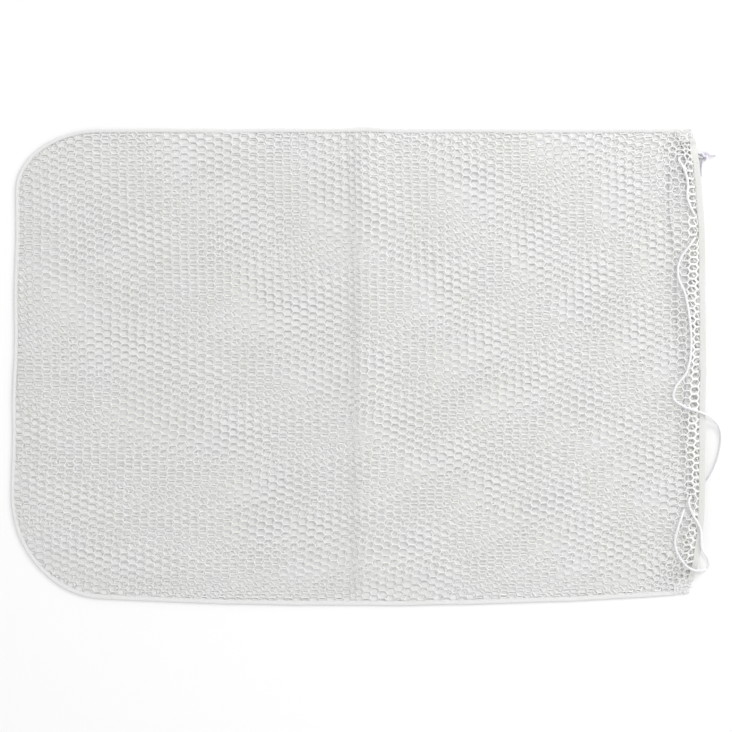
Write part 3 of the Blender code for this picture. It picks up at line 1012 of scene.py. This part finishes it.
def make_layers(front_finish, back_finish):
    """The back layer on the table and the front layer above it."""
    swell = waves(41, 6, 0.11, 0.30)
    ripple = waves(57, 5, 0.07, 0.16)

    def calm(points, inset):
        return ease((inset - 0.008) / 0.05) * ease((CALM_X - points[:, 0]) / 0.05)

    def front(points, inset):
        wavy = FRONT_SWELL * wave_height(swell, points) + crease_height(points)
        return front_height(points, inset) + 0.0004 + calm(points, inset) * wavy

    def back(points, inset):
        lift = BACK_RIPPLE * np.maximum(wave_height(ripple, points), 0) * 2
        return 0.0006 + calm(points, inset) * lift

    def front_turned_in(points, inset):
        over_cord = 0.4 * np.exp(-(((points[:, 1] - 0.182) / 0.02) ** 4))
        over_cord += ease((points[:, 1] - 0.252) / 0.015)
        return front(points, inset) - PLY_GAP + 0.0010 * over_cord

    def back_turned_in(points, inset):
        return back(points, inset) + PLY_GAP

    front_parts = [
        net_ply(-0.5, 11, front, 0.15, 0.0, True),
        net_ply(-0.5, 131, front_turned_in, 0.15, 0.292, False),
    ]
    back_parts = [
        net_ply(0.5, 23, back, 0.35, 0.0, False),
        net_ply(0.5, 137, back_turned_in, 0.15, 0.262, False),
    ]
    front_net = mesh_object("front_net", *joined(front_parts), front_finish)
    back_net = mesh_object("back_net", *joined(back_parts), back_finish)
    for net, node in ((front_net, "front_net_panel"), (back_net, "back_net_panel")):
        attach(net, "root")
        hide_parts(node)
    return front_net, back_net


# ---- the sewn edges ----


def make_seam(finish):
    """The overlock seam: loops of thread over the net's edges, and a row of stitches inside."""
    upper_end = mouth_corner(1, 0.0, BARTACK_LENGTH - SEWN_UNDER)[0]
    lower_end = mouth_corner(-1, 0.0, BARTACK_LENGTH - SEWN_UNDER)[0]
    path = spaced(outline(60, upper_end, lower_end), EDGE_SPACING)
    way = np.gradient(path, axis=0)
    way /= np.linalg.norm(way, axis=1)[:, None]
    inwards = np.stack([-way[:, 1], way[:, 0]], axis=1)
    along = run_along(path)
    sides = 12
    chance = np.random.default_rng(5)
    marks = np.arange(0, along[-1] + 0.05, 0.045)
    wobble = SEAM_WOBBLE * np.interp(along, marks, chance.normal(0, 1, len(marks)))
    bulge = 0.0011 * ease((-path[:, 1] - 0.27) / 0.03)
    bulge += 0.0012 * np.exp(-(((path[:, 0] - CREASE_X) / 0.012) ** 2)) * (path[:, 1] > 0)
    rings = []
    for k in range(sides):
        turn = 2 * pi * k / sides
        across = -np.sign(cos(turn)) * abs(cos(turn)) ** 0.75
        rise = np.sign(sin(turn)) * abs(sin(turn)) ** 0.75
        loop = 0.5 + 0.5 * np.cos(2 * pi * (along / SEAM_PITCH + 0.22 * across))
        outer = (LOOP_HEIGHT * loop + bulge) * max(-across, 0)
        inset = SEAM_WIDTH / 2 * (1 + across) - outer + wobble
        height = SEAM_HEIGHT / 2 * (1 + 0.86 * rise) - 0.00004
        height = height - 0.00035 * (1 + across) * max(rise, 0)
        height = height + max(rise, 0) * (LOOP_HEIGHT * loop - 0.00018)
        ring = np.column_stack([path + inset[:, None] * inwards, height])
        rings.append(ring)
    seam = swept_object("overlock_seam", np.stack(rings, axis=1), finish)
    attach(seam, "root")
    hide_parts("perimeter_overlock_seam")


def make_hem(name, node, on_front, seed, finish):
    """One overlocked mouth edge: a rounded outer cord of loops and a flat inner band."""
    low = mouth_corner(-1, LOWER_BARTACK_WIDTH - SEWN_UNDER, 0.0)[1]
    high = mouth_corner(1, UPPER_BARTACK_WIDTH - SEWN_UNDER, 0.0)[1]
    ys = np.linspace(low, high, int((high - low) / EDGE_SPACING))
    edge = mouth_edge(ys)
    along = ys - low
    chance = np.random.default_rng(seed)
    marks = np.linspace(low, high, 16)
    wobble = HEM_WOBBLE * np.interp(ys, marks, chance.normal(0, 1, len(marks)))
    frayed = waves(seed + 7, 6, 0.012, 0.05)
    inner_wobble = HEM_FRAY * wave_height(frayed, np.column_stack([edge, ys]))
    base = np.zeros(len(ys)) + 0.0001
    if on_front:
        middle = np.column_stack([edge - HEM_WIDTH / 2, ys])
        base = front_height(middle, inset_of(middle, EDGE)[0])
    sides = 20
    rings = []
    for k in range(sides):
        turn = 2 * pi * k / sides
        across = np.sign(cos(turn)) * abs(cos(turn)) ** 0.6
        rise = np.sign(sin(turn)) * abs(sin(turn)) ** 0.6
        outward = (across + 1) / 2
        loop = 0.5 + 0.5 * np.cos(2 * pi * (along / HEM_PITCH + 0.55 * outward))
        inset = HEM_WIDTH * (1 - outward) - LOOP_HEIGHT * loop * outward**6 + wobble
        inset = inset + inner_wobble * (1 - outward)
        body = 0.88 + 0.12 * float(ease((outward - 0.25) / 0.2))
        height = base + HEM_THICKNESS / 2 * (1 + body * rise)
        height = height + (rise > 0) * (0.00016 * loop - 0.00010) * rise
        rings.append(np.column_stack([edge - inset, ys, height]))
    hem = swept_object(name, np.stack(rings, axis=1), finish)
    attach(hem, "root")
    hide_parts(node)
    return hem


def rim_walls(rows, columns):
    """Quads that close the rim between two grids of points, one after the other."""
    rim = [i * columns for i in range(rows)]
    rim += [(rows - 1) * columns + j for j in range(1, columns)]
    rim += [i * columns + columns - 1 for i in range(rows - 2, -1, -1)]
    rim += list(range(columns - 2, 0, -1))
    layer = rows * columns
    pairs = zip(rim, rim[1:] + rim[:1])
    return [(here, there, there + layer, here + layer) for here, there in pairs]


def make_bartack(name, node, side, width, seed, finish):
    """A mouth corner where both layers are sewn together: crumpled net under zigzag stitches."""
    rows, columns = 90, 110
    full_width = width + BARTACK_LAP
    full_length = BARTACK_LENGTH + BARTACK_LAP
    across = np.linspace(0, 1, rows)[:, None] * full_width
    along = np.linspace(0, 1, columns)[None] * full_length
    plan = np.zeros((rows, columns, 2))
    for i in range(rows):
        for j in range(columns):
            plan[i, j] = mouth_corner(side, across[i, 0], along[0, -1 - j])
    rim = np.minimum(np.minimum(across, full_width - across), along)
    rim = np.minimum(rim, full_length - along)
    loose = 1 - ease(rim / 0.0035)
    for k in range(2):
        rumple = wave_height(waves(seed + 5 + k, 6, 0.005, 0.014), plan)
        plan[..., k] += BARTACK_RUMPLE * loose * rumple
    if side > 0:
        outward = (1 - across / width) ** 2
        from_peak = (plan[..., 0] - CORNER_PEAK_X) / CORNER_PEAK_SPREAD
        plan[..., 1] += CORNER_PEAK * outward * np.exp(-(from_peak**2))
    lumps = np.abs(wave_height(waves(seed + 3, 9, 0.0035, 0.010), plan)) ** 0.8
    zigzag = np.abs(across / 0.0042 % 1 - 0.5)
    threads = 0.5 + 0.5 * np.cos(2 * pi * (along / 0.0017 + zigzag))
    rounded = np.sqrt(1 - (1 - np.minimum(rim / 0.0022, 1)) ** 2)
    top = 0.0007 + rounded * np.minimum(0.0013 + 0.0024 * lumps + 0.0005 * threads, 0.0034)
    bottom = np.full_like(top, 0.0001)
    over = np.concatenate([plan, top[..., None]], axis=-1).reshape(-1, 3)
    under = np.concatenate([plan, bottom[..., None]], axis=-1).reshape(-1, 3)
    points = np.concatenate([over, under])
    faces = grid_faces(rows, columns)
    faces += [face[::-1] for face in grid_faces(rows, columns, rows * columns)]
    faces += rim_walls(rows, columns)
    tack = mesh_object(name, points, faces, finish)
    face_outwards(tack)
    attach(tack, "root")
    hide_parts(node)


# ---- putting it together ----

make_camera()
make_light_and_floor()

net_feel = {
    "tinted": (0.990, 0.990, 0.965),
    "roughness": 0.62,
    "grain": 1700.0,
    "stretch": (0.5, 1.0, 1.0),
    "depth": 0.0002,
}
front_net_yarn = yarn_material(
    name="front_net_yarn",
    light=(0.765, 0.765, 0.760),
    shade=(0.685, 0.685, 0.680),
    **net_feel,
)
# The back layer has the same yarn as the front, painted lighter: painted light that stands in for the
# light the front layer keeps off it.
back_net_yarn_painted_lighter = yarn_material(
    name="back_net_yarn_painted_lighter",
    light=(0.925, 0.925, 0.920),
    shade=(0.850, 0.850, 0.845),
    **net_feel,
)
# painted shade and painted light beside the fold, on the front layer
add_painted_fold_shade(front_net_yarn)
# painted light beside the mouth hem, on the front layer only
add_painted_edge_light(front_net_yarn)
# painted shade and painted light beside the fold, on the back layer
add_painted_fold_shade(back_net_yarn_painted_lighter)
seam_thread = yarn_material(
    name="seam_thread",
    light=(0.745, 0.745, 0.745),
    shade=(0.640, 0.640, 0.640),
    tinted=(0.990, 0.990, 0.980),
    roughness=0.55,
    grain=1500.0,
    stretch=(1.0, 1.0, 1.0),
    depth=0.0002,
)
hem_thread = yarn_material(
    name="hem_thread",
    light=(0.685, 0.685, 0.673),
    shade=(0.600, 0.602, 0.588),
    tinted=(0.960, 0.962, 0.940),
    roughness=0.55,
    grain=1500.0,
    stretch=(1.0, 0.6, 1.0),
    depth=0.0002,
)
cord_yarn = yarn_material(
    name="cord_yarn",
    light=(0.770, 0.768, 0.776),
    shade=(0.700, 0.697, 0.708),
    tinted=(0.985, 0.975, 1.000),
    roughness=0.50,
    grain=2100.0,
    stretch=(1.0, 1.0, 1.0),
    depth=0.00015,
)
# The knot and the cut ends: the cord's yarn with a stronger lavender tint, painted darker than the
# cord's run as painted shade, so that their brightly lit sides do not wash out against the floor.
knot_yarn_painted_darker = yarn_material(
    name="knot_cord_yarn_painted_darker",
    light=(0.660, 0.648, 0.690),
    shade=(0.600, 0.588, 0.632),
    tinted=(0.985, 0.970, 1.000),
    roughness=0.52,
    grain=2100.0,
    stretch=(1.0, 1.0, 1.0),
    depth=0.00015,
)
add_glow(cord_yarn, 0.45, 0.0018)
add_glow(knot_yarn_painted_darker, 0.75, 0.0030)

cord, cord_path = make_cord(cord_yarn)
knot = make_knot(knot_yarn_painted_darker)
upper_tail = make_tail("upper_cord_end", UPPER_TAIL_ROUTE, "upper_cord_tail", knot_yarn_painted_darker)
lower_tail = make_tail("lower_cord_end", LOWER_TAIL_ROUTE, "lower_cord_tail", knot_yarn_painted_darker)
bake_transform(cord)

front_net, back_net = make_layers(front_net_yarn, back_net_yarn_painted_lighter)
make_seam(seam_thread)
front_hem = make_hem("front_overlocked_hem", "front_mouth_hem", True, 71, hem_thread)
back_hem = make_hem("back_overlocked_hem", "back_mouth_hem", False, 73, hem_thread)
make_bartack("upper_corner_stitches", "upper_mouth_bartack", 1, UPPER_BARTACK_WIDTH, 81, seam_thread)
make_bartack("lower_corner_stitches", "lower_mouth_bartack", -1, LOWER_BARTACK_WIDTH, 91, seam_thread)
